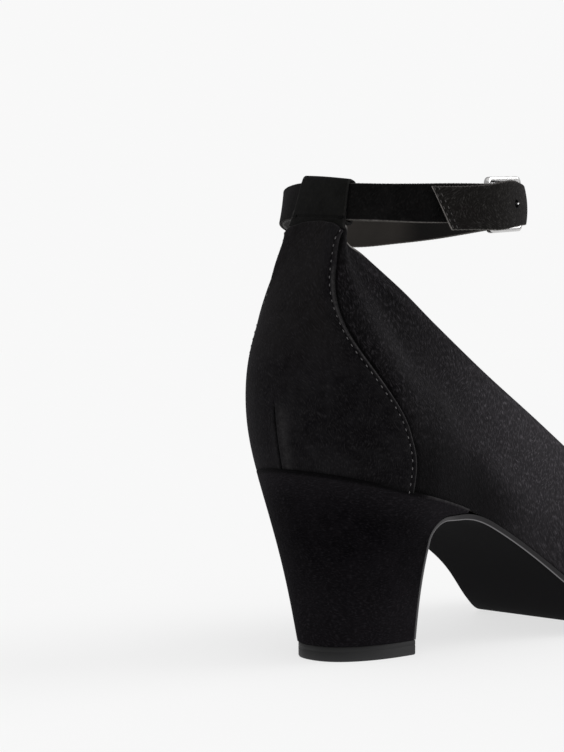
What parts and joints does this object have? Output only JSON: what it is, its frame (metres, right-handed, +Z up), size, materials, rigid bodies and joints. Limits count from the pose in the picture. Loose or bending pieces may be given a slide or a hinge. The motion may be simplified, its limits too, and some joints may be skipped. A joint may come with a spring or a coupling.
{
  "type": "ankle-strap pump",
  "caption": "Right-foot suede pump with a low-cut hollow upper, a raised back counter with a loop, a buckled ankle strap, a thin sole and a covered block heel.",
  "frame": {"origin": "middle of the heel's floor face, on the floor", "axes": "+X towards the toe, +Y towards the inner side of the right foot, +Z up"},
  "size_m": [0.2422, 0.0931, 0.1563],
  "materials": {
    "upper_suede": "black suede, short nap",
    "counter_suede": "black suede, short nap",
    "loop_suede": "black suede, short nap",
    "strap_suede": "black suede outside, dark taupe lining inside",
    "heel_suede": "black suede cover over a hard block",
    "insole_lining": "smooth dark taupe lining leather",
    "sole_grey": "satin dark grey sole",
    "top_rubber": "matt dark grey rubber",
    "buckle_silver": "polished silver-coloured metal"
  },
  "bodies": {
    "root": {"upper": "upper_suede", "back_counter": "counter_suede", "insole": "insole_lining", "outsole": "sole_grey", "heel_block": "heel_suede", "top_piece": "top_rubber", "back_loop": "loop_suede", "ankle_strap": "strap_suede", "buckle_frame": "buckle_silver", "buckle_prong": "buckle_silver"}
  },
  "joints": []
}
